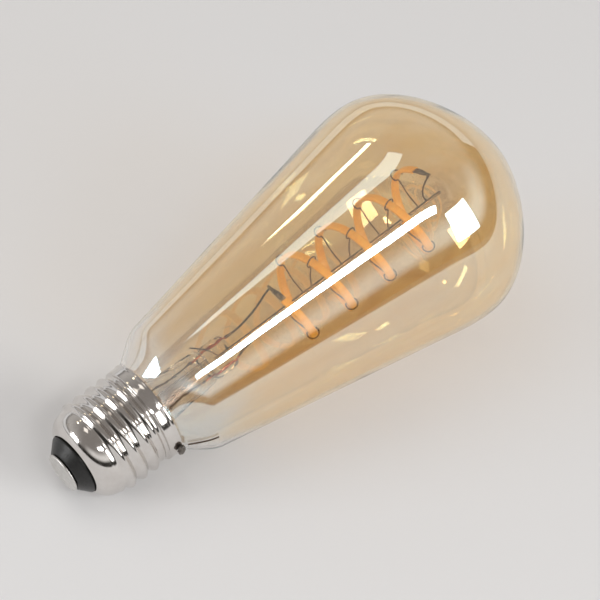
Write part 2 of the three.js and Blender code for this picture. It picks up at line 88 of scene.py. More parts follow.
# A smooth line through the points, with extra points between each two.
def smoothLine(points, between):
    points = [Vector(p) for p in points]
    line = []
    for place in range(len(points) - 1):
        before = points[max(place - 1, 0)]
        here, there = points[place], points[place + 1]
        after = points[min(place + 2, len(points) - 1)]
        for step in range(between):
            t = step / between
            line.append(0.5 * (2 * here + (there - before) * t
                               + (2 * before - 5 * here + 4 * there - after) * t * t
                               + (3 * here - before - 3 * there + after) * t ** 3))
    line.append(points[-1])
    return line


def startPiece():
    if bpy.context.object and bpy.context.object.mode != "OBJECT":
        bpy.ops.object.mode_set(mode="OBJECT")
    bpy.ops.object.select_all(action="DESELECT")


# Puts the place of a finished piece in its mesh, names it and joins it to the lamp's body.
def finishPiece(piece, name, placing, material, *stoodFor, smoothAngle=40):
    startPiece()
    piece.select_set(True)
    bpy.context.view_layer.objects.active = piece
    piece.matrix_world = placing @ Matrix.Scale(mm, 4) @ piece.matrix_world
    bpy.ops.object.transform_apply(location=True, rotation=True, scale=True)
    bpy.ops.object.shade_smooth_by_angle(angle=radians(smoothAngle))
    piece.name = name
    piece.data.materials.clear()
    piece.data.materials.append(material)
    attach(piece, "root")
    if stoodFor:
        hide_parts(*stoodFor)
    return piece


# A turned piece: the outline is drawn point by point, [radius, height], and spun round the axis.
def turnedPiece(outline, around, isClosed=False):
    startPiece()
    bpy.ops.mesh.primitive_plane_add(size=1, location=(0, 0, 0))
    piece = bpy.context.object
    bpy.ops.object.mode_set(mode="EDIT")
    bpy.ops.mesh.select_all(action="SELECT")
    bpy.ops.mesh.merge(type="CENTER")
    points = [Vector((radius, 0, height)) for radius, height in outline]
    if isClosed:
        points.append(points[0])
    bpy.ops.transform.translate(value=points[0])
    for here, there in zip(points, points[1:]):
        bpy.ops.mesh.extrude_region_move(TRANSFORM_OT_translate={"value": there - here})
    bpy.ops.mesh.select_all(action="SELECT")
    bpy.ops.mesh.remove_doubles(threshold=0.0005)
    bpy.ops.mesh.spin(steps=around, angle=2 * pi, center=(0, 0, 0), axis=(0, 0, 1))
    bpy.ops.mesh.select_all(action="SELECT")
    bpy.ops.mesh.remove_doubles(threshold=0.0005)
    bpy.ops.mesh.normals_make_consistent(inside=False)
    bpy.ops.object.mode_set(mode="OBJECT")
    return piece


def applyModifier(piece, kind, **values):
    modifier = piece.modifiers.new(kind.title(), kind)
    for name, value in values.items():
        setattr(modifier, name, value)
    startPiece()
    piece.select_set(True)
    bpy.context.view_layer.objects.active = piece
    bpy.ops.object.modifier_apply(modifier=modifier.name)


# Round wire through the points; swellings are {place in the points: times the radius}.
def bentWire(points, radius, between=6, swellings=None, around=3):
    startPiece()
    line = smoothLine(points, between)
    bpy.ops.curve.primitive_nurbs_path_add(location=(0, 0, 0))
    piece = bpy.context.object
    curve = piece.data
    curve.splines.clear()
    spline = curve.splines.new("POLY")
    spline.points.add(len(line) - 1)
    for place, (point, spot) in enumerate(zip(spline.points, line)):
        point.co = (*spot, 1)
        point.radius = 1
        for middle, times in (swellings or {}).items():
            away = abs(place / between - middle) * 3
            point.radius = max(point.radius, 1 + (times - 1) * max(0, 1 - away * away))
    curve.dimensions = "3D"
    curve.bevel_depth = radius
    curve.bevel_resolution = around
    curve.use_fill_caps = True
    piece.select_set(True)
    bpy.ops.object.convert(target="MESH")
    bpy.ops.object.mode_set(mode="EDIT")
    bpy.ops.mesh.select_all(action="SELECT")
    bpy.ops.mesh.remove_doubles(threshold=0.001)
    bpy.ops.mesh.normals_make_consistent(inside=False)
    bpy.ops.object.mode_set(mode="OBJECT")
    return piece


# ---- materials: helpers and shared effects ----


def addNode(tree, kind, inputs=None, **settings):
    made = tree.nodes.new(kind)
    for name, value in settings.items():
        setattr(made, name, value)
    for name, value in (inputs or {}).items():
        if isinstance(value, bpy.types.NodeSocket):
            tree.links.new(value, made.inputs[name])
        else:
            made.inputs[name].default_value = value
    return made


def effectGroup(name, inputs, outputs):
    group = bpy.data.node_groups.new(name, "ShaderNodeTree")
    for label, value in inputs.items():
        socket = group.interface.new_socket(label, in_out="INPUT", socket_type="NodeSocketFloat")
        socket.default_value = value
    for label, kind in outputs.items():
        group.interface.new_socket(label, in_out="OUTPUT", socket_type=kind)
    return group, group.nodes.new("NodeGroupInput").outputs, group.nodes.new("NodeGroupOutput").inputs


# Where a point lies on the lamp: millimetres up its axis, and its share of a turn round it.
def makeLampSpace():
    kinds = {"Position": "NodeSocketVector", "Height": "NodeSocketFloat", "Around": "NodeSocketFloat"}
    group, _, out = effectGroup("lamp space", {}, kinds)
    spot = addNode(group, "ShaderNodeTexCoord").outputs["Object"]
    own = addNode(group, "ShaderNodeMapping", {
        "Vector": spot, "Location": lampTip, "Rotation": (0, pi / 2 - lampTilt, 0),
        "Scale": (mm, mm, mm)}, vector_type="TEXTURE").outputs["Vector"]
    parts = addNode(group, "ShaderNodeSeparateXYZ", {"Vector": own}).outputs
    angle = addNode(group, "ShaderNodeMath", {0: parts["Y"], 1: parts["X"]}, operation="ARCTAN2")
    share = addNode(group, "ShaderNodeMath", {0: angle.outputs[0], 1: 2 * pi}, operation="DIVIDE")
    group.links.new(own, out["Position"])
    group.links.new(parts["Z"], out["Height"])
    group.links.new(share.outputs[0], out["Around"])
    return group


# Soft mottling between 0 and 1, Size in millimetres.
def makeMottling():
    group, given, out = effectGroup("mottling", {"Size": 1, "Detail": 4, "Stretch": 1},
                                    {"Mask": "NodeSocketFloat"})
    own = addNode(group, "ShaderNodeGroup", node_tree=lampSpace).outputs["Position"]
    along = addNode(group, "ShaderNodeCombineXYZ", {"X": 1, "Y": 1, "Z": given["Stretch"]})
    spread = addNode(group, "ShaderNodeVectorMath", {0: own, 1: along.outputs[0]},
                     operation="DIVIDE").outputs[0]
    often = addNode(group, "ShaderNodeMath", {0: 1, 1: given["Size"]}, operation="DIVIDE")
    cloud = addNode(group, "ShaderNodeTexNoise", {
        "Vector": spread, "Scale": often.outputs[0], "Detail": given["Detail"]})
    mask = addNode(group, "ShaderNodeMapRange", {
        "Value": cloud.outputs[0], "From Min": 0.3, "From Max": 0.7})
    group.links.new(mask.outputs["Result"], out["Mask"])
    return group


# Fine hairline marks from handling, 1 on a mark.
def makeHairlines():
    group, given, out = effectGroup("hairlines", {"Size": 1, "Amount": 0.5},
                                    {"Mask": "NodeSocketFloat"})
    own = addNode(group, "ShaderNodeGroup", node_tree=lampSpace).outputs["Position"]
    often = addNode(group, "ShaderNodeMath", {0: 1, 1: given["Size"]}, operation="DIVIDE")
    bend = addNode(group, "ShaderNodeTexNoise", {"Vector": own, "Scale": 0.4, "Detail": 1})
    warped = addNode(group, "ShaderNodeVectorMath", {0: own, 1: bend.outputs["Color"]},
                     operation="ADD").outputs[0]
    cells = addNode(group, "ShaderNodeTexVoronoi", {
        "Vector": warped, "Scale": often.outputs[0], "Randomness": 1},
        feature="DISTANCE_TO_EDGE")
    thin = addNode(group, "ShaderNodeMapRange", {
        "Value": cells.outputs["Distance"], "From Min": 0, "From Max": 0.02,
        "To Min": 1, "To Max": 0})
    patches = addNode(group, "ShaderNodeTexNoise", {"Vector": own, "Scale": 0.5, "Detail": 2})
    where = addNode(group, "ShaderNodeMath", {0: patches.outputs[0], 1: given["Amount"]},
                    operation="MULTIPLY")
    mask = addNode(group, "ShaderNodeMath", {0: thin.outputs["Result"], 1: where.outputs[0]},
                   operation="MULTIPLY")
    group.links.new(mask.outputs[0], out["Mask"])
    return group


lampSpace = makeLampSpace()
mottling = makeMottling()
hairlines = makeHairlines()


def startMaterial(name, **values):
    material = bpy.data.materials.new(name)
    material.use_nodes = True
    tree = material.node_tree
    shader = tree.nodes["Principled BSDF"]
    for label, value in values.items():
        shader.inputs[label.replace("_", " ")].default_value = value
    return material, tree, shader


def effect(tree, group, output="Mask", **values):
    return addNode(tree, "ShaderNodeGroup", values, node_tree=group).outputs[output]


def blendColour(tree, mask, low, high):
    mix = addNode(tree, "ShaderNodeMix", {"Factor": mask}, data_type="RGBA")
    for place, value in ((6, low), (7, high)):
        if isinstance(value, bpy.types.NodeSocket):
            tree.links.new(value, mix.inputs[place])
        else:
            mix.inputs[place].default_value = (*value, 1)
    return mix.outputs[2]


def stretchRange(tree, mask, low, high, fromLow=0, fromHigh=1):
    inputs = {"Value": mask, "From Min": fromLow, "From Max": fromHigh, "To Min": low, "To Max": high}
    return addNode(tree, "ShaderNodeMapRange", inputs).outputs["Result"]


def bumpy(tree, shader, height, distance, strength=1):
    bump = addNode(tree, "ShaderNodeBump", {"Height": height, "Distance": distance * mm,
                                            "Strength": strength})
    tree.links.new(bump.outputs["Normal"], shader.inputs["Normal"])


# A finish in two mottled colours, with a rough range and a fine bump.
def mottledFinish(name, dark, light, size=1, rough=(0.4, 0.6), bump=0.01, detail=4, **values):
    material, tree, shader = startMaterial(name, **values)
    mask = effect(tree, mottling, Size=size, Detail=detail)
    fine = effect(tree, mottling, Size=size * 0.3, Detail=detail)
    tree.links.new(blendColour(tree, mask, dark, light), shader.inputs["Base Color"])
    tree.links.new(stretchRange(tree, fine, *rough), shader.inputs["Roughness"])
    bumpy(tree, shader, fine, bump)
    return material


# Lets the lamps' light straight through glass, tinted.
def letLightThrough(tree, shader, tint):
    paths = addNode(tree, "ShaderNodeLightPath").outputs
    path = addNode(tree, "ShaderNodeMath", {0: paths["Is Shadow Ray"], 1: paths["Is Diffuse Ray"]},
                   operation="MAXIMUM").outputs[0]
    clear = addNode(tree, "ShaderNodeBsdfTransparent")
    if isinstance(tint, bpy.types.NodeSocket):
        tree.links.new(tint, clear.inputs["Color"])
    else:
        clear.inputs["Color"].default_value = (*tint, 1)
    mix = addNode(tree, "ShaderNodeMixShader", {0: path, 1: shader.outputs[0], 2: clear.outputs[0]})
    tree.links.new(mix.outputs[0], tree.nodes["Material Output"].inputs["Surface"])


# ---- camera ----

cameraSet = dict(azimuth=-38.38, elevation=46.43, distance=1.114, lens=267.66, aimHeight=80,
                 aside=-3.26, above=-3.39)
turn, rise = radians(cameraSet["azimuth"]), radians(cameraSet["elevation"])
cameraBack = Vector((sin(turn) * cos(rise), -cos(turn) * cos(rise), sin(rise)))
cameraRight = Vector((cos(turn), sin(turn), 0))
cameraUp = cameraBack.cross(cameraRight)
aimPoint = lampTip + lampAxis * cameraSet["aimHeight"] * mm
bpy.ops.object.select_all(action="DESELECT")
bpy.ops.object.camera_add(
    location=aimPoint + cameraBack * cameraSet["distance"]
    + (cameraRight * cameraSet["aside"] + cameraUp * cameraSet["above"]) * mm,
    rotation=(pi / 2 - rise, 0, turn))
camera = bpy.context.object
camera.name = "camera"
camera.data.lens = cameraSet["lens"]
camera.data.clip_start = 0.01
bpy.context.scene.camera = camera
bpy.context.scene.view_settings.view_transform = "Standard"
print("camera ready")

# ---- glass envelope ----

glass = dict(neckRadius=10.65, neckFoot=21.1, neckTop=23.2, rim=27.4, shoulderRadius=18.4,
             shoulderHeight=37, coneRadius=30.1, coneHeight=99, widestRadius=32,
             widestHeight=113, crownFullness=15.5, crownWidth=10, length=140, wall=0.9,
             around=160)


def glassOutside():
    slope = ((glass["coneRadius"] - glass["shoulderRadius"])
             / (glass["coneHeight"] - glass["shoulderHeight"]))
    reach = 4.2
    rise = (glass["widestHeight"] - glass["coneHeight"]) * 0.55
    swell = bezier((glass["neckRadius"], glass["neckTop"]),
                   (glass["neckRadius"] + 0.5, glass["rim"] + 0.6),
                   (glass["shoulderRadius"] - slope * reach, glass["shoulderHeight"] - reach),
                   (glass["shoulderRadius"], glass["shoulderHeight"]), 22)
    bulge = bezier((glass["coneRadius"], glass["coneHeight"]),
                   (glass["coneRadius"] + slope * rise, glass["coneHeight"] + rise),
                   (glass["widestRadius"], glass["widestHeight"] - rise * 0.6),
                   (glass["widestRadius"], glass["widestHeight"]), 12)
    crown = bezier((glass["widestRadius"], glass["widestHeight"]),
                   (glass["widestRadius"], glass["widestHeight"] + glass["crownFullness"]),
                   (glass["crownWidth"], glass["length"]), (0, glass["length"]), 34)
    cone = [swell[-1].lerp(bulge[0], step / 8) for step in range(1, 8)]
    return [Vector((glass["neckRadius"], glass["neckFoot"]))] + swell + cone + bulge + crown[1:]


amber = dict(clear=(0.97, 0.97, 0.96), gold=(1.0, 0.905, 0.68), deepGold=(1.0, 0.85, 0.55),
             goldFrom=38, goldTo=57, ior=3.0, mirrorTint=(0.6, 0.85, 1.0),
             shadowGold=(0.985, 0.945, 0.89))


def makeAmberGlass():
    material, tree, shader = startMaterial("amber glass", Roughness=0.0, IOR=amber["ior"],
                                           Transmission_Weight=1.0)
    shader.inputs["Specular Tint"].default_value = (*amber["mirrorTint"], 1)
    height = effect(tree, lampSpace, "Height")
    streaks = effect(tree, mottling, Size=5, Detail=3, Stretch=7)
    wavering = addNode(tree, "ShaderNodeMath", {0: streaks, 1: 9, 2: height},
                       operation="MULTIPLY_ADD").outputs[0]
    depth = addNode(tree, "ShaderNodeMapRange", {
        "Value": wavering, "From Min": amber["goldFrom"], "From Max": amber["goldTo"]},
        interpolation_type="SMOOTHSTEP").outputs["Result"]
    golds = blendColour(tree, streaks, amber["gold"], amber["deepGold"])
    colour = blendColour(tree, depth, amber["clear"], golds)
    tree.links.new(colour, shader.inputs["Base Color"])
    waves = effect(tree, mottling, Size=14, Detail=1, Stretch=2)
    bumpy(tree, shader, waves, 0.05, 0.35)
    shade = blendColour(tree, depth, (0.98, 0.98, 0.98), amber["shadowGold"])
    letLightThrough(tree, shader, shade)
    return material


amberGlass = makeAmberGlass()
envelope = turnedPiece(glassOutside(), glass["around"])
applyModifier(envelope, "SOLIDIFY", thickness=glass["wall"], offset=-1, use_rim=True)
finishPiece(envelope, "glass_shell", lampPlace, amberGlass, "glass_envelope", smoothAngle=50)
print("glass envelope ready")

# ---- screw cap ----

cap = dict(lipRadius=8.35, lipHeight=4.2, rootRadius=12.1, crestRadius=13.2, threadFoot=8.8,
           threadTop=23.2, crestHeight=10.7, pitch=3.63, collarRadius=13.05, collarFoot=24.3,
           rimHeight=27.4, rimBead=0.2, wall=0.35, around=144, rows=96)


def smoothStep(low, high, value):
    t = min(max((value - low) / (high - low), 0), 1)
    return t * t * (3 - 2 * t)


def threadLift(height, turn):
    crestHere = cap["crestHeight"] + cap["pitch"] * (turn - stemTurn) / 360
    wave = 0.5 + 0.5 * cos(2 * pi * (height - crestHere) / cap["pitch"])
    half = cap["pitch"] / 2
    fades = (smoothStep(cap["threadFoot"], cap["threadFoot"] + half, height)
             * (1 - smoothStep(cap["threadTop"] - half, cap["threadTop"], height)))
    return (cap["crestRadius"] - cap["rootRadius"]) * wave * fades


def capOutside():
    foot = bezier((cap["lipRadius"], cap["lipHeight"]),
                  (cap["lipRadius"] + 1.9, cap["lipHeight"] + 0.4),
                  (cap["rootRadius"] - 0.2, cap["lipHeight"] + 2.2),
                  (cap["rootRadius"], cap["threadFoot"]), 22)
    rise = (cap["threadTop"] - cap["threadFoot"]) / cap["rows"]
    thread = [(cap["rootRadius"], cap["threadFoot"] + rise * row) for row in range(1, cap["rows"] + 1)]
    collar = bezier((cap["rootRadius"] + 0.02, cap["threadTop"] + 0.25),
                    (cap["rootRadius"] + 0.1, cap["collarFoot"] - 0.25),
                    (cap["collarRadius"], cap["collarFoot"] - 0.55),
                    (cap["collarRadius"], cap["collarFoot"]), 9)
    top = cap["rimHeight"]
    out = cap["collarRadius"]
    wallLine = [(out, cap["collarFoot"] + step) for step in (0.7, 1.4)]
    rim = [(out, top - 0.95), (out + 0.04, top - 0.8), (out + 0.15, top - 0.65),
           (out + cap["rimBead"], top - 0.5), (out + cap["rimBead"], top - 0.12),
           (out + cap["rimBead"] - 0.05, top)]
    return foot + thread + collar + wallLine + rim


def makeCapShell():
    shell = turnedPiece(capOutside(), cap["around"])
    for vertex in shell.data.vertices:
        x, y, height = vertex.co
        if cap["threadFoot"] < height < cap["threadTop"]:
            radius = hypot(x, y)
            stretch = 1 + threadLift(height, degrees(atan2(y, x))) / radius
            vertex.co = (x * stretch, y * stretch, height)
    applyModifier(shell, "SOLIDIFY", thickness=cap["wall"], offset=-1, use_rim=True)
    return shell


def makeNickel():
    material, tree, shader = startMaterial("nickel plate", Metallic=1.0)
    cloud = effect(tree, mottling, Size=3, Detail=5)
    marks = effect(tree, hairlines, Size=2.2, Amount=0.9)
    clean = blendColour(tree, cloud, (0.69, 0.66, 0.635), (0.76, 0.735, 0.71))
    colour = blendColour(tree, marks, clean, (0.62, 0.57, 0.5))
    rough = stretchRange(tree, effect(tree, mottling, Size=0.8, Detail=6), 0.07, 0.13)
    worn = addNode(tree, "ShaderNodeMath", {0: marks, 1: 0.25, 2: rough}, operation="MULTIPLY_ADD")
    tree.links.new(colour, shader.inputs["Base Color"])
    tree.links.new(worn.outputs[0], shader.inputs["Roughness"])
    bumpy(tree, shader, effect(tree, mottling, Size=0.35, Detail=3), 0.0004, 0.5)
    return material


nickel = makeNickel()
finishPiece(makeCapShell(), "screw_cap", lampPlace, nickel, "cap_shell", smoothAngle=50)

insulator = dict(foot=1.0, hole=1.8, top=7.0, around=96)
insulatorOutline = [(insulator["hole"], insulator["foot"])] + [
    (5.45, insulator["foot"]), (5.6, 1.04), (5.75, 1.16), (6.4, 1.82), (7.1, 2.52), (7.75, 3.15),
    (8.05, 3.45), (8.2, 3.64), (8.25, 3.8), (8.2, 3.9), (7.7, 3.92), (7.7, 4.7),
    (8.4, 6.2), (8.1, insulator["top"]), (4.8, insulator["top"]), (3.8, 5.2),
    (insulator["hole"], 5.2)]
blackGlass = mottledFinish("black fused glass", (0.003, 0.003, 0.003), (0.012, 0.012, 0.011),
                           size=0.8, rough=(0.26, 0.42), bump=0.02)
finishPiece(turnedPiece(insulatorOutline, insulator["around"], True), "tip_insulator", lampPlace,
            blackGlass, "cap_insulator")

contact = dict(radius=5.3, thickness=0.7, rivetRadius=1.5, rivetTop=6.4, around=96)
contactEdge = contact["radius"]
contactOutline = smoothLine([(0, 0), (2.2, 0.01), (4.6, 0.05), (contactEdge - 0.25, 0.14)], 4) + smoothLine(
    [(contactEdge - 0.06, 0.3), (contactEdge, 0.45), (contactEdge - 0.06, 0.62),
     (contactEdge - 0.25, contact["thickness"])], 3) + [
    (contact["rivetRadius"], contact["thickness"]),
    (contact["rivetRadius"], contact["rivetTop"]), (0, contact["rivetTop"])]
contactMetal = mottledFinish("contact metal", (0.6, 0.585, 0.56), (0.74, 0.725, 0.7), size=1.5,
                             rough=(0.28, 0.45), bump=0.03, Metallic=1.0)
finishPiece(turnedPiece(contactOutline, contact["around"]), "tip_contact", lampPlace,
            contactMetal, "center_contact")
print("screw cap ready")

# ---- solder on the rim ----

solderDab = dict(turn=160, reach=13.8, height=26.6, size=(0.8, 2.1, 1.35))
solder = mottledFinish("solder", (0.10, 0.09, 0.08), (0.30, 0.27, 0.24), size=0.5,
                       rough=(0.3, 0.6), bump=0.08, Metallic=1.0)


def makeSolderDab():
    startPiece()
    bpy.ops.mesh.primitive_ico_sphere_add(subdivisions=5, radius=1, location=(0, 0, 0))
    dab = bpy.context.object
    bpy.ops.object.mode_set(mode="EDIT")
    bpy.ops.mesh.select_all(action="SELECT")
    bpy.ops.transform.resize(value=solderDab["size"])
    bpy.ops.object.mode_set(mode="OBJECT")
    for vertex in dab.data.vertices:
        broad = noise.noise(vertex.co * 1.1 + Vector((3, 1, 2))) * 0.45
        lump = broad + noise.noise(vertex.co * 3.4) * 0.16
        vertex.co *= 0.86 + max(min(lump, 0.14), -0.3)
    return dab


dabPlace = (stemPlace @ Matrix.Translation(polar(solderDab["reach"], solderDab["turn"],
                                                 solderDab["height"]) * mm)
            @ Matrix.Rotation(radians(solderDab["turn"]), 4, "Z"))
finishPiece(makeSolderDab(), "solder_dab", dabPlace, solder, "rim_solder", smoothAngle=80)

leadMetal = mottledFinish("dark wire", (0.11, 0.08, 0.06), (0.24, 0.18, 0.14), size=0.7,
                          rough=(0.25, 0.45), bump=0.01, Metallic=1.0)


def glassRadiusAt(height):
    line = glassOutside()
    for low, high in zip(line, line[1:]):
        if low.y <= height <= high.y:
            return low.x + (high.x - low.x) * (height - low.y) / (high.y - low.y)
    return glass["neckRadius"]


tail = dict(radius=0.2, foot=28.7, rise=6.4, turn=160, sweep=9, gap=0.5)
tailPoints = [polar(glassRadiusAt(tail["foot"] + tail["rise"] * share) + tail["gap"],
                    tail["turn"] - tail["sweep"] * share, tail["foot"] + tail["rise"] * share)
              for share in (0, 0.2, 0.4, 0.6, 0.8, 1)]
finishPiece(bentWire(tailPoints, tail["radius"]), "wire_tail", stemPlace, leadMetal, "rim_wire_tail")
print("rim solder ready")

# ---- glass stem ----


def makeClearGlass():
    material, tree, shader = startMaterial("clear glass", Roughness=0.0, IOR=1.5,
                                           Transmission_Weight=1.0)
    mask = effect(tree, mottling, Size=3, Detail=2)
    tree.links.new(blendColour(tree, mask, (0.96, 0.97, 0.96), (0.99, 0.99, 0.985)),
                   shader.inputs["Base Color"])
    bumpy(tree, shader, effect(tree, mottling, Size=2.5, Detail=1), 0.12, 0.6)
    letLightThrough(tree, shader, (0.95, 0.95, 0.94))
    return material


clearGlass = makeClearGlass()
stemGlass = dict(neckRadius=10.65, foot=20.1, lip=0.7, radius=5, wall=0.8, top=45.5, around=96)
flareEdge, flareFoot = stemGlass["neckRadius"], stemGlass["foot"]
tube, tubeTop = stemGlass["radius"], stemGlass["top"]
flareLine = smoothLine([
    (flareEdge - 2.2, flareFoot), (flareEdge - 0.25, flareFoot), (flareEdge, flareFoot + 0.3),
    (flareEdge - 0.25, flareFoot + stemGlass["lip"]), (flareEdge - 3, flareFoot + 1.5),
    (tube + 2, flareFoot + 6), (tube + 0.9, flareFoot + 12), (tube + 0.25, tubeTop - 7.5),
    (tube, tubeTop - 2.5), (tube - 0.3, tubeTop - 0.6)], 5)
flareInside = smoothLine([
    (tube - 0.7, tubeTop), (tube - 1.3, tubeTop), (tube - stemGlass["wall"], tubeTop - 3),
    (tube - 0.6, tubeTop - 7.5), (tube + 0.1, flareFoot + 12), (tube + 1.1, flareFoot + 5.5)], 5)
finishPiece(turnedPiece(flareLine + flareInside, stemGlass["around"], True), "stem_tube", stemPlace,
            clearGlass, "stem_flare", smoothAngle=60)

pressBody = dict(foot=45.8, top=53.3, halfWidth=4.6, halfDepth=2.5, halfFlat=1.7, around=96)


# The pinched end of the stem: a turned lump pressed flat, with the marks of the pinching jaws.
def makePress():
    low, high, wide = pressBody["foot"], pressBody["top"], pressBody["halfWidth"]
    outline = [(0, low)] + smoothLine([(3.3, low), (4.3, low + 0.35), (wide, low + 1.4),
                                       (wide, low + 3.8), (wide - 0.1, high - 1.7),
                                       (wide - 0.7, high - 0.5), (wide - 2.2, high)], 6) + [
        (1.2, high - 0.12), (0, high - 0.3)]
    piece = turnedPiece(outline, pressBody["around"])
    bpy.ops.object.mode_set(mode="EDIT")
    bpy.ops.mesh.select_all(action="SELECT")
    bpy.ops.transform.resize(value=(1, pressBody["halfDepth"] / wide, 1))
    bpy.ops.object.mode_set(mode="OBJECT")
    for vertex in piece.data.vertices:
        share = (smoothStep(low + 1, low + 3, vertex.co.z)
                 * (1 - smoothStep(high - 2.4, high - 1, vertex.co.z)))
        flat = pressBody["halfFlat"]
        vertex.co.y += share * (max(min(vertex.co.y, flat), -flat) - vertex.co.y) * 0.85
        vertex.co.x *= 1 - 0.05 * share * (1 + sin(vertex.co.z * 2.6)) / 2
    return piece


finishPiece(makePress(), "stem_pinch", stemPlace, clearGlass, "stem_press", smoothAngle=60)

exhaust = dict(foot=22.8, top=45.5, radius=1.5, bore=1.0)
exhaustOutline = [(0, exhaust["foot"]), (0.9, exhaust["foot"] + 0.3), (1.35, exhaust["foot"] + 0.9),
                  (exhaust["radius"], exhaust["foot"] + 1.7), (exhaust["radius"], 34),
                  (exhaust["radius"], exhaust["top"]), (exhaust["bore"], exhaust["top"]),
                  (exhaust["bore"], exhaust["foot"] + 2), (0, exhaust["foot"] + 1.2)]
finishPiece(turnedPiece(exhaustOutline, 48), "pumping_tube", stemPlace, clearGlass, "exhaust_tube")

rod = dict(foot=48.0, top=121.7, radius=0.45)
rodMetal = mottledFinish("rod metal", (0.30, 0.25, 0.20), (0.48, 0.42, 0.36), size=1.2,
                         rough=(0.16, 0.3), bump=0.006, Metallic=1.0)
rodOutline = [(0, rod["foot"]), (rod["radius"], rod["foot"]), (rod["radius"], 60),
              (rod["radius"], 90), (rod["radius"], rod["top"] - 0.35), (0.4, rod["top"] - 0.15),
              (0.27, rod["top"]), (0, rod["top"])]
finishPiece(turnedPiece(rodOutline, 32), "centre_rod", stemPlace, rodMetal, "support_rod")
print("stem ready")

# ---- filament ----

spiral = dict(radius=10.17, pitch=12.55, start=-278, end=1118, height=78.6, stripWidth=2.2,
              stripThickness=1.1, stepsEachTurn=110, sides=20, chipsEachTurn=47)


def spiralPoint(turn):
    return polar(spiral["radius"], turn, spiral["height"] + spiral["pitch"] * turn / 360)


def spiralAlong(turn):
    climb = spiral["pitch"] / (2 * pi)
    return Vector((-sin(radians(turn)), cos(radians(turn)), climb / spiral["radius"])).normalized()


# The strip: a flattened ring set at the lower end, then screwed up the axis and closed.
def makeFilament():
    startPiece()
    sweep = radians(spiral["end"] - spiral["start"])
    bpy.ops.mesh.primitive_circle_add(vertices=spiral["sides"], radius=0.5, location=(0, 0, 0),
                                      rotation=(pi / 2, 0, 0))
    strip = bpy.context.object
    bpy.ops.object.transform_apply(rotation=True)
    squareness = 0.55
    for vertex in strip.data.vertices:
        angle = atan2(vertex.co.z, vertex.co.x)
        across = abs(cos(angle)) ** squareness * (1 if cos(angle) > 0 else -1)
        up = abs(sin(angle)) ** squareness * (1 if sin(angle) > 0 else -1)
        vertex.co = (spiral["radius"] + across * spiral["stripThickness"] / 2, 0,
                     up * spiral["stripWidth"] / 2)
    applyModifier(strip, "SCREW", axis="Z", angle=sweep, screw_offset=spiral["pitch"] * sweep / (2 * pi),
                  steps=int(spiral["stepsEachTurn"] * sweep / (2 * pi)),
                  render_steps=int(spiral["stepsEachTurn"] * sweep / (2 * pi)),
                  use_merge_vertices=False)
    bpy.ops.object.mode_set(mode="EDIT")
    bpy.ops.mesh.select_all(action="SELECT")
    bpy.ops.mesh.fill_holes(sides=0)
    bpy.ops.mesh.select_all(action="SELECT")
    bpy.ops.mesh.normals_make_consistent(inside=False)
    bpy.ops.object.mode_set(mode="OBJECT")
    return strip


def makePhosphor():
    material, tree, shader = startMaterial("orange phosphor", Roughness=0.38, Coat_Weight=0.35,
                                           Coat_Roughness=0.18)
    around = effect(tree, lampSpace, "Around")
    beat = addNode(tree, "ShaderNodeMath", {0: around, 1: spiral["chipsEachTurn"] * 2 * pi},
                   operation="MULTIPLY").outputs[0]
    chips = addNode(tree, "ShaderNodeMath", {0: beat}, operation="SINE").outputs[0]
    soft = stretchRange(tree, chips, 0, 1, 0.1, 0.95)
    cloud = effect(tree, mottling, Size=1.4, Detail=3)
    coat = blendColour(tree, cloud, (1.0, 0.50, 0.06), (1.0, 0.58, 0.10))
    colour = blendColour(tree, stretchRange(tree, soft, 0, 0.35), coat, (1.0, 0.65, 0.14))
    tree.links.new(colour, shader.inputs["Base Color"])
    bumpy(tree, shader, soft, 0.03, 0.4)
    return material


phosphor = makePhosphor()
stripFoot = spiral["height"] + spiral["pitch"] * spiral["start"] / 360
stripPlace = (stemPlace @ Matrix.Rotation(radians(spiral["start"]), 4, "Z")
              @ Matrix.Translation((0, 0, stripFoot * mm)))
finishPiece(makeFilament(), "light_strip", stripPlace, phosphor, "led_filament", smoothAngle=60)

tab = dict(length=5.4, width=1.5, thickness=0.4, taper=0.45)
tabMetal = mottledFinish("tab metal", (0.16, 0.13, 0.11), (0.36, 0.31, 0.27), size=0.8,
                         rough=(0.22, 0.42), bump=0.02, Metallic=1.0)


# A plate that narrows to its free end, drawn with its root at the origin, along +X.
def makeTab():
    startPiece()
    bpy.ops.mesh.primitive_cube_add(size=1, location=(tab["length"] / 2, 0, 0))
    plate = bpy.context.object
    plate.scale = (tab["length"], tab["thickness"], tab["width"])
    bpy.ops.object.transform_apply(location=True, scale=True)
    bpy.ops.object.mode_set(mode="EDIT")
    bpy.ops.mesh.select_all(action="SELECT")
    bpy.ops.mesh.subdivide(number_cuts=7)
    bpy.ops.object.mode_set(mode="OBJECT")
    for vertex in plate.data.vertices:
        share = smoothStep(0.25, 1, vertex.co.x / tab["length"])
        vertex.co.z *= 1 - (1 - tab["taper"]) * share
        vertex.co.y += 0.12 * sin(vertex.co.x * 1.1)
    applyModifier(plate, "BEVEL", width=0.09, segments=2, limit_method="ANGLE")
    return plate


def tabPlace(turn, way):
    along = spiralAlong(turn) * way
    outward = polar(1, turn, 0)
    upward = along.cross(outward)
    spot = spiralPoint(turn) * mm
    axes = Matrix((along, outward, upward)).transposed().to_4x4()
    return stemPlace @ Matrix.Translation(spot) @ axes


finishPiece(makeTab(), "lower_tab", tabPlace(spiral["start"], -1), tabMetal, "filament_tab_lower")
finishPiece(makeTab(), "upper_tab", tabPlace(spiral["end"], 1), tabMetal, "filament_tab_upper")
print("filament ready")

# ---- hooks that hold the filament ----

hook = dict(turns=(155, 347, 421), rise=1.2, radius=0.19, slack=0.12)


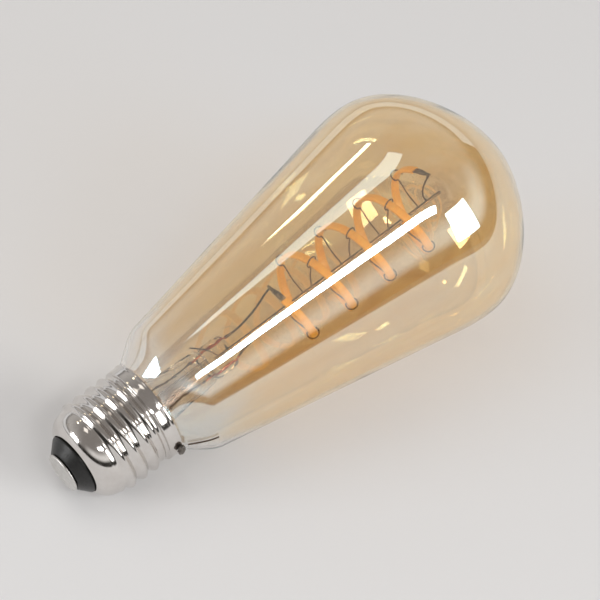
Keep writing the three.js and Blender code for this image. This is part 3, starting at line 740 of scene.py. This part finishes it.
# One hook, drawn for turn 0 with its eye at height 0.
def makeHook():
    tangent = spiralAlong(0)
    outward = Vector((1, 0, 0))
    upward = outward.cross(tangent)
    eyeRadius = (hypot(spiral["stripWidth"], spiral["stripThickness"]) / 2
                 + hook["radius"] + hook["slack"])
    eyeCentre = Vector((spiral["radius"], 0, 0))
    points = [Vector((rod["radius"], 0, -hook["rise"] - 0.1)),
              Vector((rod["radius"] + 0.6, 0, -hook["rise"])),
              Vector((spiral["radius"] * 0.45, 0, -hook["rise"] * 0.9))]
    for angle in range(200, 500, 30):
        points.append(eyeCentre + outward * eyeRadius * cos(radians(angle))
                      + upward * eyeRadius * sin(radians(angle)))
    return bentWire(points, hook["radius"], 5, {0: 1.5})


hookMetal = mottledFinish("hook wire", (0.20, 0.15, 0.11), (0.42, 0.34, 0.27), size=0.5,
                          rough=(0.18, 0.35), bump=0.004, Metallic=1.0)
firstHook = makeHook()
hookTurns = [turn for turn in range(spiral["start"], spiral["end"] - 20)
             if any((turn - start) % 360 == 0 for start in hook["turns"])]
for count, turn in enumerate(hookTurns, 1):
    startPiece()
    copy = firstHook.copy()
    copy.data = firstHook.data.copy()
    bpy.context.collection.objects.link(copy)
    hookPlace = (stemPlace @ Matrix.Translation((0, 0, spiralPoint(turn).z * mm))
                 @ Matrix.Rotation(radians(turn), 4, "Z"))
    finishPiece(copy, f"hook_{count:02d}", hookPlace, hookMetal, f"support_hook_{count:02d}")
bpy.data.objects.remove(firstHook)
print("hooks ready:", len(hookTurns))

# ---- leads ----

lead = dict(radius=0.27, offset=2.9, foot=19.1, join=42.6, sealTop=53.8, besideRod=0.72,
            linkHeight=117.2)
sealMetal = mottledFinish("seal wire", (0.30, 0.07, 0.03), (0.62, 0.22, 0.09), size=1.2,
                          rough=(0.22, 0.4), bump=0.006, Metallic=1.0)


def tabSeat(turn, way):
    reach = way * (0.3 + tab["length"] * 0.8)
    spot = spiralPoint(turn) + spiralAlong(turn) * reach
    return spot - polar(1, turn, 0) * (tab["thickness"] / 2 + lead["radius"])


for label, side in (("upper", lead["offset"]), ("lower", -lead["offset"])):
    bow = side * 0.1
    outer = bentWire([(side, 0, lead["foot"]), (side + bow, 0, 29.4), (side - bow, 0, 36.4),
                      (side, 0, lead["join"] - 0.6), (side, 0, lead["join"] + 0.1)],
                     lead["radius"], 8, {3.8: 1.9})
    finishPiece(outer, f"{label}_outer_wire", stemPlace, leadMetal, f"outer_lead_{label}")
    seal = bentWire([(side, 0, lead["join"]), (side + bow * 0.4, 0, 46), (side, 0, 50),
                     (side, 0, lead["sealTop"])], lead["radius"], 5)
    finishPiece(seal, f"{label}_seal", stemPlace, sealMetal, f"seal_wire_{label}")

lowerSeat = tabSeat(spiral["start"], -1)
shortLeadPoints = [(lead["offset"], 0, lead["sealTop"] - 0.1),
                   (lead["offset"], 0.6, lead["sealTop"] + 4),
                   (lead["offset"] + 1, 3.2, lead["sealTop"] + 9),
                   (lowerSeat.x - 0.3, lowerSeat.y - 1.5, lowerSeat.z - 1.2), lowerSeat]
finishPiece(bentWire(shortLeadPoints, lead["radius"], 10, {0.1: 1.6, 4: 1.5}), "lower_tab_wire",
            stemPlace, leadMetal, "short_lead")

rodLeadPoints = [(-lead["offset"], 0, lead["sealTop"] - 0.1),
                 (-lead["offset"] + 0.6, 0, lead["sealTop"] + 1.6),
                 (-lead["besideRod"] - 1.1, 0, lead["sealTop"] + 4.8),
                 (-lead["besideRod"] - 0.3, 0, lead["sealTop"] + 8),
                 (-lead["besideRod"], 0, lead["sealTop"] + 11)]
finishPiece(bentWire(rodLeadPoints, lead["radius"], 8, {4: 1.3}), "rod_wire", stemPlace, leadMetal,
            "rod_lead")

upperSeat = tabSeat(spiral["end"], 1)
seatTurn = degrees(atan2(upperSeat.y, upperSeat.x))
tabLeadPoints = [polar(lead["besideRod"], seatTurn, lead["linkHeight"]),
                 polar(3.56, seatTurn, lead["linkHeight"] - 0.9),
                 polar(7.1, seatTurn, lead["linkHeight"] - 0.7), upperSeat]
finishPiece(bentWire(tabLeadPoints, lead["radius"] * 0.8, 10, {0: 1.5, 3: 1.6}), "upper_tab_wire",
            stemPlace, leadMetal, "tab_lead")

anchorPoints = [(0.3, 2.9, 48.8), polar(4.7, 50, 47.1), polar(6.2, 15, 44.5)]
finishPiece(bentWire(anchorPoints, 0.2, 8), "loose_anchor", stemPlace, hookMetal, "anchor_wire")
print("leads ready")

# ---- finishes of the pieces kept from the frame ----


def makeLaminate():
    material, tree, shader = startMaterial("board laminate", Roughness=0.42)
    own = effect(tree, lampSpace, "Position")
    tracks = addNode(tree, "ShaderNodeTexBrick", {
        "Vector": own, "Scale": 0.55, "Mortar Size": 0.06, "Color1": (0.03, 0.16, 0.08, 1),
        "Color2": (0.04, 0.2, 0.1, 1), "Mortar": (0.10, 0.34, 0.16, 1)})
    cloud = effect(tree, mottling, Size=2, Detail=4)
    tree.links.new(blendColour(tree, stretchRange(tree, cloud, 0, 0.3), tracks.outputs["Color"],
                               (0.02, 0.1, 0.05)), shader.inputs["Base Color"])
    bumpy(tree, shader, tracks.outputs["Fac"], 0.03, 0.5)
    return material


def makeWinding():
    material, tree, shader = startMaterial("wound choke", Roughness=0.35)
    own = effect(tree, lampSpace, "Position")
    turns = addNode(tree, "ShaderNodeTexWave", {"Vector": own, "Scale": 1.6, "Distortion": 0.4},
                    bands_direction="Z")
    tree.links.new(blendColour(tree, turns.outputs["Fac"], (0.10, 0.035, 0.015), (0.55, 0.24, 0.10)),
                   shader.inputs["Base Color"])
    bumpy(tree, shader, turns.outputs["Fac"], 0.08)
    return material


keptFinishes = {
    "cap_cement": mottledFinish("cement", (0.5, 0.46, 0.38), (0.72, 0.68, 0.6), size=0.9,
                                rough=(0.8, 0.95), bump=0.12),
    "insulating_sleeve": mottledFinish("sleeve film", (0.76, 0.74, 0.68), (0.86, 0.84, 0.79), size=4,
                                       rough=(0.45, 0.6), bump=0.02),
    "smoothing_capacitor": mottledFinish("capacitor sleeve", (0.02, 0.025, 0.04), (0.035, 0.045, 0.07),
                                         size=2, rough=(0.25, 0.4), bump=0.02),
    "film_capacitor": mottledFinish("dipped resin", (0.5, 0.24, 0.03), (0.66, 0.36, 0.06), size=1.5,
                                    rough=(0.22, 0.35), bump=0.05),
    "fuse_resistor": mottledFinish("ceramic body", (0.28, 0.42, 0.36), (0.4, 0.56, 0.48), size=1,
                                   rough=(0.5, 0.65), bump=0.04),
    "radio_shield": mottledFinish("tinned can", (0.6, 0.6, 0.59), (0.72, 0.72, 0.7), size=2,
                                  rough=(0.25, 0.4), bump=0.02, Metallic=1.0),
    "choke_coil": makeWinding(),
}
chipResin = mottledFinish("chip resin", (0.012, 0.012, 0.013), (0.03, 0.03, 0.03), size=0.4,
                          rough=(0.5, 0.65), bump=0.02)
laminate = makeLaminate()
wireCover = mottledFinish("wire cover", (0.42, 0.03, 0.02), (0.6, 0.06, 0.035), size=1,
                          rough=(0.4, 0.55), bump=0.02)
for nodeName in ("driver_chip", "bridge_rectifier", "radio_pin_header"):
    keptFinishes[nodeName] = chipResin
for nodeName in ("driver_board", "radio_board"):
    keptFinishes[nodeName] = laminate
for nodeName in ("live_wire", "neutral_wire"):
    keptFinishes[nodeName] = wireCover
for nodeName, material in keptFinishes.items():
    kept = frame["nodes"][nodeName]
    kept.data.materials.clear()
    kept.data.materials.append(material)
print("kept pieces painted:", len(keptFinishes))

# ---- floor, surroundings and lamps ----

stage = dict(floorColour=(0.75, 0.75, 0.755), paperFront=-0.43, paperLeft=-0.42, size=6,
             fadeFrom=0.45, fadeTo=1.1, camera=(0.72, 0.715, 0.715), room=(0.27, 0.25, 0.235),
             frontGlow=(0.85, 0.83, 0.81), backGlow=(0.5, 0.48, 0.46), roomLow=(0.03, 0.028, 0.025),
             sweepTop=0.17)


# 1 for what the camera sees, directly or through glass, but not by way of a reflection.
def seenStraight(tree, path):
    unmirrored = addNode(tree, "ShaderNodeMath", {0: path["Glossy Depth"], 1: 0.5},
                         operation="LESS_THAN")
    through = addNode(tree, "ShaderNodeMath", {0: unmirrored.outputs[0], 1: path["Is Transmission Ray"]},
                      operation="MULTIPLY")
    return addNode(tree, "ShaderNodeMath", {0: through.outputs[0], 1: path["Is Camera Ray"]},
                   operation="MAXIMUM").outputs[0]


def makeFloor():
    material, tree, shader = startMaterial("pale paper", Roughness=0.8, Emission_Strength=1.0)
    shader.inputs["Specular IOR Level"].default_value = 0.2
    spot = addNode(tree, "ShaderNodeTexCoord").outputs["Object"]
    parts = addNode(tree, "ShaderNodeSeparateXYZ", {"Vector": spot}).outputs
    front = addNode(tree, "ShaderNodeMath", {0: parts["Y"], 1: stage["paperFront"]},
                    operation="LESS_THAN")
    left = addNode(tree, "ShaderNodeMath", {0: parts["X"], 1: stage["paperLeft"]},
                   operation="LESS_THAN")
    beyond = addNode(tree, "ShaderNodeMath", {0: front.outputs[0], 1: left.outputs[0]},
                     operation="MAXIMUM")
    path = addNode(tree, "ShaderNodeLightPath").outputs
    # past the paper's front and left edges, the floor is painted dark for reflections only. This is a
    # painted dark reflection of the unlit room; the camera still sees pale paper there.
    paintedDarkReflection = addNode(tree, "ShaderNodeMath", {0: beyond.outputs[0], 1: path["Is Glossy Ray"]},
                     operation="MULTIPLY")
    grain = addNode(tree, "ShaderNodeTexNoise", {"Vector": spot, "Scale": 900, "Detail": 3}).outputs[0]
    paper = blendColour(tree, grain, stage["floorColour"], [c * 1.01 for c in stage["floorColour"]])
    colour = blendColour(tree, paintedDarkReflection.outputs[0], paper, stage["roomLow"])
    # far off, where the lamps don't reach, the floor runs into the pale background
    away = addNode(tree, "ShaderNodeVectorMath", {0: spot}, operation="LENGTH").outputs["Value"]
    fade = stretchRange(tree, away, 0, 1, stage["fadeFrom"], stage["fadeTo"])
    distant = addNode(tree, "ShaderNodeMath", {0: fade, 1: seenStraight(tree, path)},
                      operation="MULTIPLY").outputs[0]
    tree.links.new(blendColour(tree, distant, colour, (0, 0, 0)), shader.inputs["Base Color"])
    tree.links.new(blendColour(tree, distant, (0, 0, 0), stage["camera"]),
                   shader.inputs["Emission Color"])
    return material


lowest = min(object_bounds()[0].z, 0)
startPiece()
bpy.ops.mesh.primitive_plane_add(size=stage["size"], location=(0, 0, 0))
floor = bpy.context.object
floor.name = "floor"
floor.location.z = lowest
floor.data.materials.append(makeFloor())


def makeSurroundings():
    world = bpy.data.worlds.new("studio")
    bpy.context.scene.world = world
    world.use_nodes = True
    tree = world.node_tree
    out = tree.nodes["World Output"]
    direction = addNode(tree, "ShaderNodeTexCoord").outputs["Generated"]
    parts = addNode(tree, "ShaderNodeSeparateXYZ", {"Vector": direction}).outputs
    climb = stretchRange(tree, parts["Z"], 0, 1, 0.14, 0.36)
    room = blendColour(tree, climb, stage["roomLow"], stage["room"])
    for label, side, rising, falling in (("frontGlow", -1, (0.16, 0.3), (0.42, 0.62)),
                                         ("backGlow", 1, (0.16, 0.32), (0.45, 0.95))):
        facing = stretchRange(tree, parts["Y"], 0, 1, side * 0.05, side * 0.5)
        above = stretchRange(tree, parts["Z"], 0, 1, *rising)
        below = stretchRange(tree, parts["Z"], 1, 0, *falling)
        lit = addNode(tree, "ShaderNodeMath", {0: above, 1: below}, operation="MULTIPLY").outputs[0]
        glow = addNode(tree, "ShaderNodeMath", {0: lit, 1: facing}, operation="MULTIPLY").outputs[0]
        room = blendColour(tree, glow, room, stage[label])
    low = addNode(tree, "ShaderNodeMath", {0: parts["Z"], 1: stage["sweepTop"]}, operation="LESS_THAN")
    back = addNode(tree, "ShaderNodeMath", {0: parts["Y"], 1: 0.25}, operation="GREATER_THAN")
    sweep = addNode(tree, "ShaderNodeMath", {0: low.outputs[0], 1: back.outputs[0]}, operation="MULTIPLY")
    around = blendColour(tree, sweep.outputs[0], room, stage["floorColour"])
    path = addNode(tree, "ShaderNodeLightPath").outputs
    colour = blendColour(tree, seenStraight(tree, path), around, stage["camera"])
    glow = addNode(tree, "ShaderNodeBackground", {"Color": colour, "Strength": 1})
    tree.links.new(glow.outputs[0], out.inputs["Surface"])


makeSurroundings()

# Each lamp: side and height seen from the object, its angular width and height, and its glow,
# where 1 is as bright as white paper in full light.
lamps = {
    "left softbox": dict(azimuth=-115, elevation=15, wide=20, high=15, glow=9, colour=(1, 1, 1)),
    "front softbox": dict(azimuth=17, elevation=25, wide=26, high=28, glow=6, colour=(1, 1, 1)),
    "top softbox": dict(azimuth=-17, elevation=46, wide=16.5, high=7, glow=14, colour=(1, 1, 1)),
    "warm lamp": dict(azimuth=-172, elevation=47, wide=5, high=3, glow=9, colour=(1, 0.86, 0.6)),
    "ceiling glow": dict(azimuth=-150, elevation=74, wide=16, high=12, glow=1.2, colour=(1, 0.95, 0.88)),
    "overhead fill": dict(azimuth=-120, elevation=62, wide=60, high=60, glow=0.75, colour=(1, 1, 1)),
}
onlyForFloor = ("overhead fill",)  # lights surfaces, but shows in no reflection
lampDistance = 1.5
for name, values in lamps.items():
    side, climb = radians(values["azimuth"]), radians(values["elevation"])
    towards = Vector((sin(side) * cos(climb), -cos(side) * cos(climb), sin(climb)))
    wide = 2 * lampDistance * tan(radians(values["wide"] / 2))
    high = 2 * lampDistance * tan(radians(values["high"] / 2))
    startPiece()
    bpy.ops.object.light_add(type="AREA", location=objectMiddle + towards * lampDistance,
                             rotation=(pi / 2 - climb, 0, side))
    light = bpy.context.object
    light.name = name
    light.data.shape = "RECTANGLE"
    light.data.size = wide
    light.data.size_y = high
    light.data.energy = values["glow"] * pi * wide * high
    light.data.color = values["colour"]
    light.visible_camera = False
    if name in onlyForFloor:
        light.visible_glossy = False
        light.visible_transmission = False
print("stage ready")
